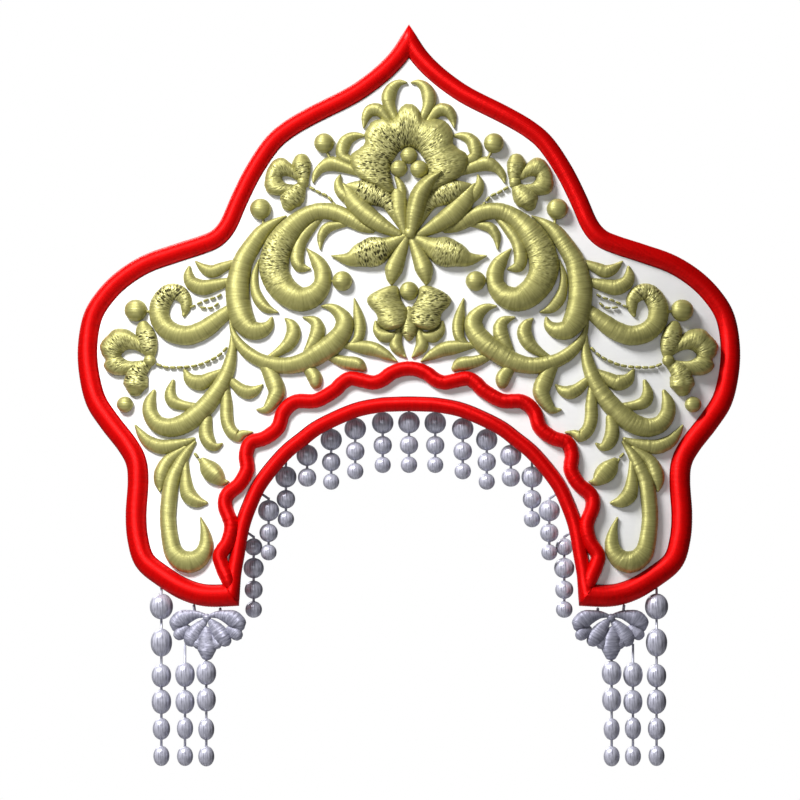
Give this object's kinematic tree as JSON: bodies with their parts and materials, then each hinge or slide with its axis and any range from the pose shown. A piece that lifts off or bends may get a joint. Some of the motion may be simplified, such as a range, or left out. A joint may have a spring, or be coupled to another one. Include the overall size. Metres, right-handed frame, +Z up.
{
  "type": "kokoshnik headdress",
  "caption": "Folk kokoshnik headdress: pointed white crown with lobed sides, red cord edging, raised gold scroll embroidery, bead fringe over the brow and bead pendants.",
  "frame": {"origin": "underside of the head band at its top middle, where the head carries the headdress (mount head_seat)", "axes": "+Z up to the peak, +Y to the back of the head, +X across the crown to the viewer's right from the front"},
  "size_m": [0.3182, 0.0585, 0.3547],
  "materials": {
    "white_satin": "white satin over a stiff board",
    "red_satin": "red satin stitched over a round cord",
    "gold_thread": "padded satin stitch in pale gold thread",
    "lilac_bead": "silver lilac pearl beads wound with thread"
  },
  "bodies": {
    "root": {"crown_plate": "white_satin", "head_band": "white_satin", "edge_cord": "red_satin", "brow_cord": "red_satin", "wave_cord": "red_satin", "gold_bloom": "gold_thread", "gold_bouquet": "gold_thread", "gold_scroll_left": "gold_thread", "gold_scroll_right": "gold_thread", "gold_side_spray_left": "gold_thread", "gold_side_spray_right": "gold_thread", "gold_lower_scroll_left": "gold_thread", "gold_lower_scroll_right": "gold_thread", "gold_vine_left": "gold_thread", "gold_vine_right": "gold_thread", "gold_foot_spray_left": "gold_thread", "gold_foot_spray_right": "gold_thread", "fringe_strand_01": "lilac_bead", "fringe_strand_02": "lilac_bead", "fringe_strand_03": "lilac_bead", "fringe_strand_04": "lilac_bead", "fringe_strand_05": "lilac_bead", "fringe_strand_06": "lilac_bead", "fringe_strand_07": "lilac_bead", "fringe_strand_08": "lilac_bead", "fringe_strand_09": "lilac_bead", "fringe_strand_10": "lilac_bead", "fringe_strand_11": "lilac_bead", "fringe_strand_12": "lilac_bead", "fringe_strand_13": "lilac_bead", "fringe_strand_14": "lilac_bead", "fringe_strand_15": "lilac_bead", "pendant_fan_left": "lilac_bead", "pendant_fan_right": "lilac_bead", "pendant_strand_left_outer": "lilac_bead", "pendant_strand_left_middle": "lilac_bead", "pendant_strand_left_inner": "lilac_bead", "pendant_strand_right_outer": "lilac_bead", "pendant_strand_right_middle": "lilac_bead", "pendant_strand_right_inner": "lilac_bead"}
  },
  "joints": []
}
